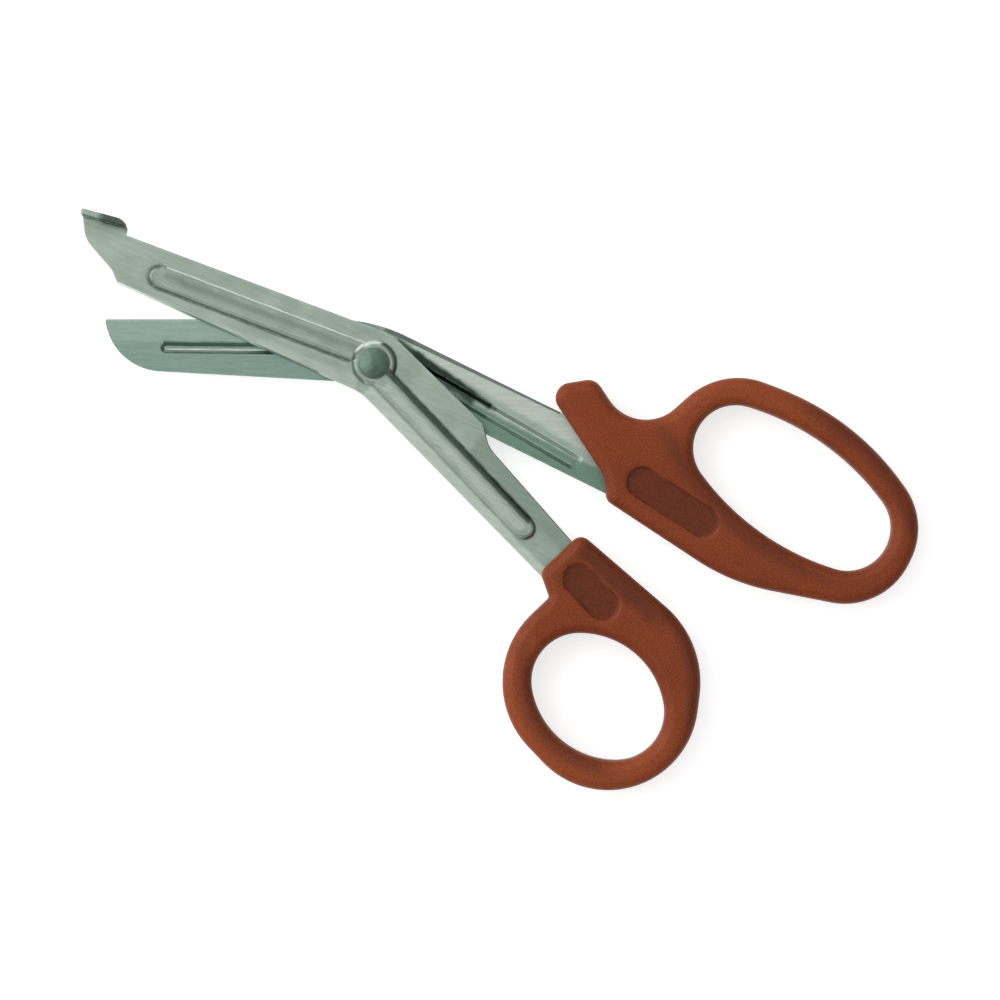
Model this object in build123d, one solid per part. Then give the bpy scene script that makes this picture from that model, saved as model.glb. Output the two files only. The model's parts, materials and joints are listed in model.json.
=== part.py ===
from build123d import *
import os
from math import atan2, cos, degrees, radians, sin, tan

# Bandage scissors, lying flat and opened a little. Lengths in mm, angles in degrees.
# While the pieces are made, the pivot is the origin and the blades slide on the plane Z = 0.
# X runs from the blade tips to the rings, along the cutting edge of the rear blade, and Z is up.
# The front member lies on top: its blade carries the foot and its shank the small thumb ring.
# Each member is drawn with its own cutting edge along X. A side of a member is written as a pair:
# its direction, and its distance to the left of the pivot as seen along that direction.

# The most that the two roundings at the ends of a side may take of its length
ROUNDED_SHARE = 0.95

# Sheet and pressings, alike on both members
SHEET = 1.6
SHEET_EDGE_BEVEL = 0.2
BLADE_PLAY = 0.05
RIB_HEIGHT = 0.9
RIB_WALL = 1.3
RIB_DRAFT = 42
RIB_SHOULDER = 0.2
RIB_SHOULDER_DRAFT = 66
RIB_WIDTH = 5.0
BOSS_RADIUS = 4.9
BLADE_TIP_ROUND = 0.4
GRIND_WIDTH = 0.45
GRIND_DEPTH = 1.1
FRONT_GRIND_LENGTH = 46.5

# Pose of the front member against the rear one
JAW_ANGLE = 24.1

# Rear blade and shank
REAR_REACH = 56.85
REAR_EDGE_RISE = 9.37
REAR_NOSE_ANGLE = -80
REAR_NOSE_ROUND = 12.4
REAR_BACK_DROP = 4.15
REAR_BACK_TAPER = 3.2
REAR_CRANK = 26.3
REAR_EDGE_BEND_ROUND = 35
REAR_BACK_BEND_ROUND = 9
REAR_SHANK_RISE = 8.2
REAR_SHANK_DROP = 2.96
REAR_HEEL_DROP = 5.8
REAR_HEEL_LENGTH = 21.5
REAR_RIB_RISE = 2.9
REAR_RIB_TAPER = 0.6
REAR_RIB_REACH = 44.0
REAR_SHANK_RIB_RISE = 3.3
REAR_SHANK_RIB_TAPER = 4
REAR_SHANK_RIB_WIDTH = 6.0
REAR_SHANK_RIB_REACH = 46.5

# Front blade and shank
FRONT_REACH = 56.24
FRONT_EDGE_DROP = 6.75
FRONT_BACK_RISE = 6.98
FRONT_BACK_TAPER = 3.54
FRONT_CRANK = 22.35
FRONT_EDGE_BEND_ROUND = 10
FRONT_BACK_BEND_ROUND = 12
FRONT_SHANK_DROP = 6.35
FRONT_SHANK_OUTER_TAPER = 0.9
FRONT_SHANK_RISE = 6.5
FRONT_SHANK_INNER_TAPER = -2.2
FRONT_HEEL_RISE = 6.95
FRONT_HEEL_TAPER = 1.95
FRONT_HEEL_LENGTH = 25.4
FRONT_RIB_RISE = 1.0
FRONT_RIB_TAPER = 3.3
FRONT_RIB_REACH = 49.0
FRONT_SHANK_RIB_DROP = 1.0
FRONT_SHANK_RIB_REACH = 47.0
HEEL_END_ROUND = 2.4
HEEL_STEP_ROUND = 7
HEEL_STEP_LENGTH = 3.9

# Nose and safety foot at the tip of the front blade
NOSE_STEP = 2.3
NOSE_STEP_RISE = 2.15
NOSE_STEP_ROUND = 3
NOSE_BULGE = 10.1
NOSE_BULGE_RISE = 5.8
NOSE_BULGE_ROUND = 6
FOOT_LEFT = 13.45
FOOT_RISE = 11.4
FOOT_LENGTH = 10.6
FOOT_SLOPE = 9.3
FOOT_HEIGHT = 4.9
FOOT_HEEL_HEIGHT = 2.6
FOOT_RAMP_LENGTH = 5.5
FOOT_END_ROUND = 2.6
FOOT_LIP_ROUND = 0.6
FOOT_BEND_ROUND = 1.4
FOOT_HOLLOW_ROUND = 0.5

# Tangs inside the handles
TANG_ROUND = 2.5
THUMB_TANG_LENGTH = 13.5
FINGER_TANG_LENGTH = 15
LOCK_HOLE_RADIUS = 2.0
LOCK_HOLE_INSET = 6.5

# Handles
HANDLE_THICKNESS = 9.2
HANDLE_BRIM_HEIGHT = 1.2
HANDLE_BRIM_LEAN = 22
HANDLE_CROWN_HEIGHT = 0.7
HANDLE_CROWN_LEAN = 62
HANDLE_CORNER_ROUND = 2.3
POCKET_DEPTH = 0.6
POCKET_WIDTH = 6.8
THUMB_SEAT = 56.0
FINGER_SEAT = 49.9

# Thumb handle, measured from the middle of its front edge along the shank
THUMB_HOLE_LENGTH = 30.5
THUMB_HOLE_WIDTH = 24.0
THUMB_HOLE_TILT = 6.1
THUMB_HOLE_END_RADIUS = 10.15
THUMB_HOLE_AHEAD = 27.45
THUMB_HOLE_ASIDE = -14.2
THUMB_WALL_END = 6.75
THUMB_WALL_NEAR = 7.0
THUMB_WALL_OUTER = 5.9
THUMB_ROUND_NEAR = 19.7
THUMB_ROUND_END = 19.0
THUMB_ROUND_SHOULDER = 21.3
THUMB_NECK_INNER = 6.9
THUMB_NECK_OUTER = 4.95
THUMB_NECK_FLARE = 2.3
THUMB_NOTCH_ROUND = 0.8
THUMB_SHOULDER_ANGLE = 5.7
THUMB_END_LEAN = 39
THUMB_POCKET_LENGTH = 14.4
THUMB_POCKET_AHEAD = 10.4
THUMB_POCKET_ASIDE = -0.1

# Finger handle, measured the same way; its front edge runs forward into the finger rest
FINGER_HOLE_LENGTH = 47.2
FINGER_HOLE_WIDTH = 23.0
FINGER_HOLE_TILT = -9.0
FINGER_HOLE_END_RADIUS = 9.15
FINGER_HOLE_AHEAD = 40.8
FINGER_HOLE_ASIDE = 12.9
FINGER_WALL_END = 5.6
FINGER_WALL_TOE = 7.05
FINGER_WALL_CREST = 5.75
FINGER_WALL_FALL = 5.45
FINGER_WALL_NEAR = 5.75
FINGER_TOE_ANGLE = 15.2
FINGER_FALL_ANGLE = 28
FINGER_CREST_ANGLE = 5.3
FINGER_NEAR_ANGLE = 68.1
FINGER_ROUND_TOE = 15.0
FINGER_ROUND_END = 14.8
FINGER_ROUND_CREST = 56
FINGER_ROUND_NEAR = 15.7
FINGER_ROUND_BELLY = 43
FINGER_BELLY_ANGLE = 7.1
FINGER_BELLY_DROP = 5.95
FINGER_FRONT_ANGLE = 30.4
FINGER_CHIN_ANGLE = 60
FINGER_CHIN_AHEAD = 2.9
FINGER_CHIN_ROUND = 8
REST_REACH = 17.8
REST_WIDTH = 9.7
REST_END_ANGLE = 65.8
REST_END_ROUND = 3.15
REST_SADDLE_ROUND = 9.2
FINGER_POCKET_LENGTH = 22
FINGER_POCKET_AHEAD = 19.4
FINGER_POCKET_ASIDE = -1.0
FINGER_POCKET_TILT = -6.5

# Rivet and washer
RIVET_RADIUS = 2.0
RIVET_RUNNING_GAP = 0.04
RIVET_HEAD_RADIUS = 3.3
RIVET_HEAD_RIM = 0.35
RIVET_HEAD_HEIGHT = 1.5
RIVET_HEAD_PLAY = 0.05
RIVET_TAIL_RADIUS = 2.8
RIVET_TAIL_RIM = 0.2
RIVET_TAIL_HEIGHT = 0.85
WASHER_RADIUS = 3.7
WASHER_THICKNESS = 0.55

# Levels that follow from the sizes above
FRONT_INNER = BLADE_PLAY
FRONT_OUTER = FRONT_INNER + SHEET
FRONT_CROWN = FRONT_OUTER + RIB_HEIGHT
REAR_OUTER = -SHEET
REAR_CROWN = REAR_OUTER - RIB_HEIGHT


def along(side, distance):
    """The point of a side that lies the given distance past the pivot."""
    angle, left = radians(side[0]), side[1]
    return (distance * cos(angle) - left * sin(angle), distance * sin(angle) + left * cos(angle))


def through(point, angle):
    """The side of the given direction that passes through a point."""
    return (angle, point[1] * cos(radians(angle)) - point[0] * sin(radians(angle)))


def crossing(first, second):
    """The point where two sides meet."""
    a, b = radians(first[0]), radians(second[0])
    turn = sin(b - a)
    x = (first[1] * cos(b) - second[1] * cos(a)) / turn
    y = (first[1] * sin(b) - second[1] * sin(a)) / turn
    return (x, y)


def rounded_outline(corners):
    """A closed face from (point, rounding) pairs; roundings give way where their side is short."""
    points = [Vector(*point) for point, rounding in corners]
    rounds = [rounding for point, rounding in corners]
    count = len(points)
    sides = [points[(i + 1) % count] - points[i] for i in range(count)]
    setbacks = [rounds[i] * tan(radians(sides[i - 1].get_angle(sides[i])) / 2) for i in range(count)]
    fits = [1] * count
    for i, side in enumerate(sides):
        after = (i + 1) % count
        taken = setbacks[i] + setbacks[after]
        if taken > ROUNDED_SHARE * side.length:
            fit = ROUNDED_SHARE * side.length / taken
            fits[i] = min(fits[i], fit)
            fits[after] = min(fits[after], fit)
    fitted = [rounding * fit for rounding, fit in zip(rounds, fits)]
    return make_face(FilletPolyline(*points, radius=fitted, close=True))


def rear_outline():
    """Rear sheet from above: blade, heel, shank and tang."""
    edge = (0, REAR_EDGE_RISE)
    back = (-REAR_BACK_TAPER, -REAR_BACK_DROP)
    shank_top = (-REAR_CRANK, REAR_SHANK_RISE)
    heel = (-REAR_CRANK, -REAR_HEEL_DROP)
    shank_bottom = (-REAR_CRANK, -REAR_SHANK_DROP)
    tip = (-REAR_REACH, REAR_EDGE_RISE)
    nose = through(tip, REAR_NOSE_ANGLE)
    tang_end = FINGER_SEAT + FINGER_TANG_LENGTH
    return rounded_outline([
        (tip, BLADE_TIP_ROUND),
        (crossing(nose, back), REAR_NOSE_ROUND),
        (crossing(back, heel), REAR_BACK_BEND_ROUND),
        (along(heel, REAR_HEEL_LENGTH), HEEL_END_ROUND),
        (along(shank_bottom, REAR_HEEL_LENGTH + HEEL_STEP_LENGTH), HEEL_STEP_ROUND),
        (along(shank_bottom, tang_end), TANG_ROUND),
        (along(shank_top, tang_end), TANG_ROUND),
        (crossing(shank_top, edge), REAR_EDGE_BEND_ROUND),
    ])


def foot_line():
    """The outer side of the foot, and the distances along it where the foot starts and ends."""
    x, y = -FRONT_REACH - FOOT_LEFT, -FRONT_EDGE_DROP + FOOT_RISE
    slope = radians(FOOT_SLOPE)
    start = x * cos(slope) + y * sin(slope)
    return through((x, y), FOOT_SLOPE), start, start + FOOT_LENGTH


def front_outline():
    """Front sheet from above: nose, foot strip, back, heel, shank and tang."""
    edge = (0, -FRONT_EDGE_DROP)
    back = (FRONT_BACK_TAPER, FRONT_BACK_RISE)
    heel = (-FRONT_CRANK + FRONT_HEEL_TAPER, FRONT_HEEL_RISE)
    shank_inner = (-FRONT_CRANK + FRONT_SHANK_INNER_TAPER, FRONT_SHANK_RISE)
    shank_outer = (-FRONT_CRANK + FRONT_SHANK_OUTER_TAPER, -FRONT_SHANK_DROP)
    tip = (-FRONT_REACH, -FRONT_EDGE_DROP)
    foot_side, foot_start, foot_end = foot_line()
    foot_end_side = through(along(foot_side, foot_end), FOOT_SLOPE - 90)
    tang_end = THUMB_SEAT + THUMB_TANG_LENGTH
    return rounded_outline([
        (tip, BLADE_TIP_ROUND),
        (crossing(edge, shank_outer), FRONT_EDGE_BEND_ROUND),
        (along(shank_outer, tang_end), TANG_ROUND),
        (along(shank_inner, tang_end), TANG_ROUND),
        (along(shank_inner, FRONT_HEEL_LENGTH + HEEL_STEP_LENGTH), HEEL_STEP_ROUND),
        (along(heel, FRONT_HEEL_LENGTH), HEEL_END_ROUND),
        (crossing(heel, back), FRONT_BACK_BEND_ROUND),
        (crossing(back, foot_end_side), 0),
        (along(foot_side, foot_end), FOOT_END_ROUND),
        (along(foot_side, foot_start), BLADE_TIP_ROUND),
        ((tip[0] - NOSE_BULGE, tip[1] + NOSE_BULGE_RISE), NOSE_BULGE_ROUND),
        ((tip[0] - NOSE_STEP, tip[1] + NOSE_STEP_RISE), NOSE_STEP_ROUND),
    ])


def bar(start, end, width):
    """A flat bar with round ends, from one point to another."""
    spine = Vector(*end) - Vector(*start)
    middle = Vector(*start) + spine / 2
    angle = degrees(atan2(spine.Y, spine.X))
    return Pos(middle) * Rot(0, 0, angle) * SlotCenterToCenter(spine.length, width)


def swage(ribs, inset, shoulder):
    """Boss and ribs with their sloping walls; the top may end in a low shoulder."""
    plans = [Circle(BOSS_RADIUS - inset)]
    for side, reach, width in ribs:
        plans.append(bar(along(side, 0), along(side, reach), width - 2 * inset))
    bodies = [extrude(plan, RIB_HEIGHT - shoulder, taper=RIB_DRAFT) for plan in plans]
    if shoulder:
        tops = [body.faces().sort_by(Axis.Z)[-1] for body in bodies]
        bodies += [extrude(top, shoulder, taper=RIB_SHOULDER_DRAFT) for top in tops]
    return Part() + bodies


def pressing(blank, ribs):
    """A blank with its inner face on Z = 0: outer edges softened, boss and ribs pressed upwards."""
    outer_face = blank.faces().filter_by(Plane.XY).sort_by(SortBy.AREA)[-2:].sort_by(Axis.Z)[-1]
    softened = chamfer(outer_face.edges().sort_by(SortBy.LENGTH)[-1], SHEET_EDGE_BEVEL)
    crown = swage(ribs, 0, RIB_SHOULDER)
    return softened + Pos(0, 0, SHEET) * crown - swage(ribs, RIB_WALL, 0)


def grinding(tip_x, edge_y, length, way):
    """The wedge ground off the outer face along a cutting edge that faces up (1) or down (-1)."""
    wedge = Polyline(
        (edge_y, SHEET - GRIND_DEPTH),
        (edge_y - way * GRIND_WIDTH, SHEET),
        (edge_y - way * GRIND_WIDTH, 2 * SHEET),
        (edge_y + way * SHEET, 2 * SHEET),
        (edge_y + way * SHEET, SHEET - GRIND_DEPTH),
        close=True,
    )
    section = Plane.YZ.offset(tip_x - SHEET) * make_face(wedge)
    return extrude(section, length + SHEET)


def lock_hole(seat, tang_length, side):
    """The hole in a tang that its handle's plug fills."""
    place = Pos(*along(side, seat + tang_length - LOCK_HOLE_INSET))
    return place * Cylinder(LOCK_HOLE_RADIUS, 4 * SHEET)


def rear_blade():
    """Rear member, turned over so that its rib points down."""
    shank_middle = (-REAR_CRANK, (REAR_SHANK_RISE - REAR_SHANK_DROP) / 2)
    blade_rib = (-REAR_RIB_TAPER, REAR_RIB_RISE)
    shank_rib = (-REAR_CRANK - REAR_SHANK_RIB_TAPER, REAR_SHANK_RIB_RISE)
    blade = pressing(extrude(rear_outline(), SHEET), [
        (blade_rib, -REAR_RIB_REACH, RIB_WIDTH),
        (shank_rib, REAR_SHANK_RIB_REACH, REAR_SHANK_RIB_WIDTH),
    ])
    blade -= grinding(-REAR_REACH, REAR_EDGE_RISE, REAR_REACH, 1)
    blade -= Cylinder(RIVET_RADIUS, 4 * SHEET)
    blade -= lock_hole(FINGER_SEAT, FINGER_TANG_LENGTH, shank_middle)
    return mirror(blade, Plane.XY)


def front_blank():
    """Front sheet whose strip along the nose is bent up square to the blade as the safety foot."""
    side, start, _ = foot_line()
    place = Pos(*along(side, start)) * Rot(0, 0, FOOT_SLOPE)
    span = 2 * (FRONT_REACH + THUMB_SEAT + THUMB_TANG_LENGTH)
    behind = Box(span, span, FOOT_HEIGHT, align=(Align.MIN, Align.MAX, Align.MIN))
    bend_edge = behind.edges().filter_by(Axis.X).group_by(Axis.Z)[0].sort_by(Axis.Y)[-1]
    behind = Pos(-SHEET, -SHEET, SHEET) * fillet(bend_edge, FOOT_HOLLOW_ROUND)
    above = Polyline(
        (FOOT_LENGTH + SHEET, 2 * FOOT_HEIGHT),
        (FOOT_LENGTH + SHEET, FOOT_HEEL_HEIGHT),
        (FOOT_LENGTH - FOOT_RAMP_LENGTH, FOOT_HEIGHT),
        (FOOT_LIP_ROUND, FOOT_HEIGHT),
        (-FOOT_LIP_ROUND, FOOT_HEIGHT - 2 * FOOT_LIP_ROUND),
        (-FOOT_LIP_ROUND, 2 * FOOT_HEIGHT),
        close=True,
    )
    above = extrude(Plane.XZ * make_face(above), 2 * SHEET, both=True)
    corner = Rectangle(FOOT_BEND_ROUND, FOOT_BEND_ROUND, align=(Align.MAX, Align.MIN))
    below = corner - Pos(-FOOT_BEND_ROUND, FOOT_BEND_ROUND) * Circle(FOOT_BEND_ROUND)
    below = Pos(-SHEET, 0) * extrude(Plane.YZ * below, FOOT_LENGTH + 2 * SHEET)
    return extrude(front_outline(), FOOT_HEIGHT) - [place * cut for cut in (behind, above, below)]


def front_blade():
    """Front member with its foot, turned to the pose in which it lies."""
    blade_rib = (FRONT_RIB_TAPER, FRONT_RIB_RISE)
    shank_rib = (-FRONT_CRANK, -FRONT_SHANK_RIB_DROP)
    blade = pressing(front_blank(), [
        (blade_rib, -FRONT_RIB_REACH, RIB_WIDTH),
        (shank_rib, FRONT_SHANK_RIB_REACH, RIB_WIDTH),
    ])
    blade -= grinding(-FRONT_REACH, -FRONT_EDGE_DROP, FRONT_GRIND_LENGTH, -1)
    blade -= Cylinder(RIVET_RADIUS + RIVET_RUNNING_GAP, 4 * SHEET)
    blade -= lock_hole(THUMB_SEAT, THUMB_TANG_LENGTH, (-FRONT_CRANK, 0))
    return Rot(0, 0, -JAW_ANGLE) * Pos(0, 0, FRONT_INNER) * blade


class RingHole:
    """The hole of a ring: an oval of four arcs that meet smoothly."""

    def __init__(self, ahead, aside, length, width, tilt, end_radius):
        self.middle = Vector(ahead, aside)
        self.tilt = tilt
        self.half_width = width / 2
        self.end_radius = end_radius
        self.end_offset = length / 2 - end_radius
        gap = self.half_width - end_radius
        self.side_radius = (self.end_offset ** 2 + self.half_width ** 2 - end_radius ** 2) / (2 * gap)
        self.side_offset = self.side_radius - self.half_width
        self.joint_angle = atan2(self.side_offset, self.end_offset)

    def face(self):
        """The hole as a flat face."""
        x = self.end_offset + self.end_radius * cos(self.joint_angle)
        y = self.end_radius * sin(self.joint_angle)
        end = self.end_offset + self.end_radius
        outline = [
            ThreePointArc((x, -y), (end, 0), (x, y)),
            ThreePointArc((x, y), (0, self.half_width), (-x, y)),
            ThreePointArc((-x, y), (-end, 0), (-x, -y)),
            ThreePointArc((-x, -y), (0, -self.half_width), (x, -y)),
        ]
        return Pos(self.middle) * Rot(0, 0, self.tilt) * make_face(Wire(outline))

    def wall_side(self, direction, wall):
        """The outer side of the ring that runs in a direction and leaves the given wall."""
        turned = radians(direction - 90 - self.tilt)
        lengthwise, crosswise = abs(cos(turned)), abs(sin(turned))
        if atan2(crosswise, lengthwise) < self.joint_angle:
            reach = self.end_offset * lengthwise + self.end_radius
        else:
            reach = self.side_radius - self.side_offset * crosswise
        outward = Vector(sin(radians(direction)), -cos(radians(direction)))
        point = self.middle + outward * (reach + wall)
        return through((point.X, point.Y), direction)


def moulding(outline, hole, pocket):
    """A handle before it closes on its tang: its edges slope in twice, and both faces have a pocket."""
    half = extrude(outline - hole, HANDLE_THICKNESS / 2 - HANDLE_BRIM_HEIGHT - HANDLE_CROWN_HEIGHT)
    half += extrude(half.faces().sort_by(Axis.Z)[-1], HANDLE_BRIM_HEIGHT, taper=HANDLE_BRIM_LEAN)
    half += extrude(half.faces().sort_by(Axis.Z)[-1], HANDLE_CROWN_HEIGHT, taper=HANDLE_CROWN_LEAN)
    body = half + mirror(half, Plane.XY)
    for level in (-HANDLE_THICKNESS / 2, HANDLE_THICKNESS / 2):
        body -= Pos(0, 0, level - POCKET_DEPTH) * extrude(pocket, 2 * POCKET_DEPTH)
    return body


def thumb_moulding():
    """Thumb handle in its own frame: X runs along the shank from the middle of the front edge."""
    hole = RingHole(
        THUMB_HOLE_AHEAD, THUMB_HOLE_ASIDE, THUMB_HOLE_LENGTH, THUMB_HOLE_WIDTH,
        THUMB_HOLE_TILT, THUMB_HOLE_END_RADIUS,
    )
    neck_inner = through((0, THUMB_NECK_INNER), 180 + THUMB_SHOULDER_ANGLE)
    near = hole.wall_side(270, THUMB_WALL_NEAR)
    outer = hole.wall_side(0, THUMB_WALL_OUTER)
    end = hole.wall_side(90 + THUMB_END_LEAN, THUMB_WALL_END)
    notch_x = crossing(near, outer)[0]
    outline = rounded_outline([
        ((0, THUMB_NECK_INNER), HANDLE_CORNER_ROUND),
        ((0, -THUMB_NECK_OUTER), HANDLE_CORNER_ROUND),
        ((notch_x, -THUMB_NECK_OUTER - THUMB_NECK_FLARE), THUMB_NOTCH_ROUND),
        (crossing(near, outer), THUMB_ROUND_NEAR),
        (crossing(outer, end), THUMB_ROUND_END),
        (crossing(end, neck_inner), THUMB_ROUND_SHOULDER),
    ])
    pocket_place = Pos(THUMB_POCKET_AHEAD, THUMB_POCKET_ASIDE)
    pocket = pocket_place * SlotOverall(THUMB_POCKET_LENGTH, POCKET_WIDTH)
    return moulding(outline, hole.face(), pocket)


def finger_moulding():
    """Finger handle in its own frame, with the rest for the forefinger ahead of the ring."""
    hole = RingHole(
        FINGER_HOLE_AHEAD, FINGER_HOLE_ASIDE, FINGER_HOLE_LENGTH, FINGER_HOLE_WIDTH,
        FINGER_HOLE_TILT, FINGER_HOLE_END_RADIUS,
    )
    front = (-FINGER_FRONT_ANGLE, 0)
    chin = through((FINGER_CHIN_AHEAD, 0), -FINGER_CHIN_ANGLE)
    belly = (-FINGER_BELLY_ANGLE, -FINGER_BELLY_DROP)
    toe = hole.wall_side(FINGER_TOE_ANGLE, FINGER_WALL_TOE)
    end = hole.wall_side(90, FINGER_WALL_END)
    fall = hole.wall_side(180 - FINGER_FALL_ANGLE, FINGER_WALL_FALL)
    crest = hole.wall_side(180 + FINGER_CREST_ANGLE, FINGER_WALL_CREST)
    near = hole.wall_side(180 + FINGER_NEAR_ANGLE, FINGER_WALL_NEAR)
    rest_top = (180 - FINGER_FRONT_ANGLE, -REST_WIDTH)
    rest_end = through(along(front, -REST_REACH), 180 - FINGER_FRONT_ANGLE + REST_END_ANGLE)
    outline = rounded_outline([
        (crossing(rest_end, front), REST_END_ROUND),
        (crossing(front, chin), FINGER_CHIN_ROUND),
        (crossing(chin, belly), HANDLE_CORNER_ROUND),
        (crossing(belly, toe), FINGER_ROUND_BELLY),
        (crossing(toe, end), FINGER_ROUND_TOE),
        (crossing(end, fall), FINGER_ROUND_END),
        (crossing(fall, crest), FINGER_ROUND_CREST),
        (crossing(crest, near), FINGER_ROUND_NEAR),
        (crossing(near, rest_top), REST_SADDLE_ROUND),
        (crossing(rest_top, rest_end), REST_END_ROUND),
    ])
    pocket_place = Pos(FINGER_POCKET_AHEAD, FINGER_POCKET_ASIDE) * Rot(0, 0, FINGER_POCKET_TILT)
    pocket = pocket_place * SlotOverall(FINGER_POCKET_LENGTH, POCKET_WIDTH)
    return moulding(outline, hole.face(), pocket)


def thumb_handle(blade):
    """Thumb handle, moulded round the tang of the front member."""
    seat = Rot(0, 0, -FRONT_CRANK - JAW_ANGLE) * Pos(THUMB_SEAT, 0)
    return seat * thumb_moulding() - blade


def finger_handle(blade):
    """Finger handle, moulded round the tang of the rear member."""
    shank_middle = (REAR_SHANK_RISE - REAR_SHANK_DROP) / 2
    seat = Rot(0, 0, -REAR_CRANK) * Pos(FINGER_SEAT, shank_middle)
    return seat * finger_moulding() - blade


def domed_end(radius, rim, height):
    """A domed rivet end that stands on its flat side."""
    rise = height - rim
    dome_radius = (radius ** 2 + rise ** 2) / (2 * rise)
    flat_sides = Polyline((0, height), (0, 0), (radius, 0), (radius, rim))
    dome = RadiusArc((radius, rim), (0, height), -dome_radius)
    return revolve(Plane.XZ * make_face(flat_sides + dome), Axis.Z)


def pivot_rivet():
    """Rivet: domed head on the front boss, shank through both members, peened tail below."""
    seat = FRONT_CROWN + RIVET_HEAD_PLAY
    tail = REAR_CROWN - WASHER_THICKNESS
    shank = Pos(0, 0, tail) * extrude(Circle(RIVET_RADIUS), seat - tail)
    head = Pos(0, 0, seat) * domed_end(RIVET_HEAD_RADIUS, RIVET_HEAD_RIM, RIVET_HEAD_HEIGHT)
    peen = Rot(180, 0, 0) * domed_end(RIVET_TAIL_RADIUS, RIVET_TAIL_RIM, RIVET_TAIL_HEIGHT)
    return head + shank + Pos(0, 0, tail) * peen


def pivot_washer():
    """Washer between the rear boss and the peened tail."""
    ring = Circle(WASHER_RADIUS) - Circle(RIVET_RADIUS)
    return Pos(0, 0, REAR_CROWN - WASHER_THICKNESS) * extrude(ring, WASHER_THICKNESS)


rear = rear_blade()
front = front_blade()
nodes = {
    "rear_blade": rear,
    "front_blade": front,
    "finger_handle": finger_handle(rear),
    "thumb_handle": thumb_handle(front),
    "pivot_rivet": pivot_rivet(),
    "pivot_washer": pivot_washer(),
}

# The part stands on the ground plane, with the middle of its plan on the origin
box = Compound(list(nodes.values())).bounding_box()
to_ground = Pos(-box.center().X, -box.center().Y, -box.min.Z)
os.makedirs("parts", exist_ok=True)
for name, solid in nodes.items():
    export_step(to_ground * solid, f"parts/{name}.step")
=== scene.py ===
import json
import logging
import math
from dataclasses import dataclass, field
from enum import Enum

import bmesh
import bpy
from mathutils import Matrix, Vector


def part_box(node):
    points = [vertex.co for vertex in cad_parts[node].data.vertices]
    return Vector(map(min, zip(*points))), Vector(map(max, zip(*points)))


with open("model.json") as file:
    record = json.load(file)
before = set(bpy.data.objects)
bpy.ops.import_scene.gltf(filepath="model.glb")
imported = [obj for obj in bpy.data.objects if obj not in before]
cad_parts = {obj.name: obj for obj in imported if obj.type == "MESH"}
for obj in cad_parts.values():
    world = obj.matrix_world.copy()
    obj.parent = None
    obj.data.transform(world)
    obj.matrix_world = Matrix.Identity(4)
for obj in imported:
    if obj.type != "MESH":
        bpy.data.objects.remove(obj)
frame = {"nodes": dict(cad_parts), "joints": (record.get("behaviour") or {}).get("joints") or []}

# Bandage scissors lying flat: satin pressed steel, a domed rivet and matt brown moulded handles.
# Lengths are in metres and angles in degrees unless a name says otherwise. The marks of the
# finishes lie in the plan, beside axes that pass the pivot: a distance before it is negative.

logging.basicConfig(level=logging.INFO, format="%(message)s")
log = logging.getLogger("bandage_scissors")

Colour = tuple[float, float, float]
Point = tuple[float, float, float]
Socket = bpy.types.NodeSocket
Value = float | Colour | Vector | Socket
MM = 0.001
NOWHERE: Point = (0.0, 0.0, 0.0)
UPWARD: Point = (0.0, 0.0, 1.0)
IN_PLAN: Point = (1.0, 1.0, 0.0)
WHITE: Colour = (1.0, 1.0, 1.0)
MEASURES = ("DOT_PRODUCT", "DISTANCE", "LENGTH")


class Side(Enum):
    """The side of a line in the plan, seen along its heading."""

    LEFT = 1
    RIGHT = -1


def opaque(colour: Colour) -> tuple[float, float, float, float]:
    """A colour with full alpha, as sockets take it."""
    return (*colour, 1.0)


def heading(angle: float) -> Vector:
    """The flat direction of an angle, counted from +X towards +Y."""
    return Vector((math.cos(math.radians(angle)), math.sin(math.radians(angle)), 0.0))


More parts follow.
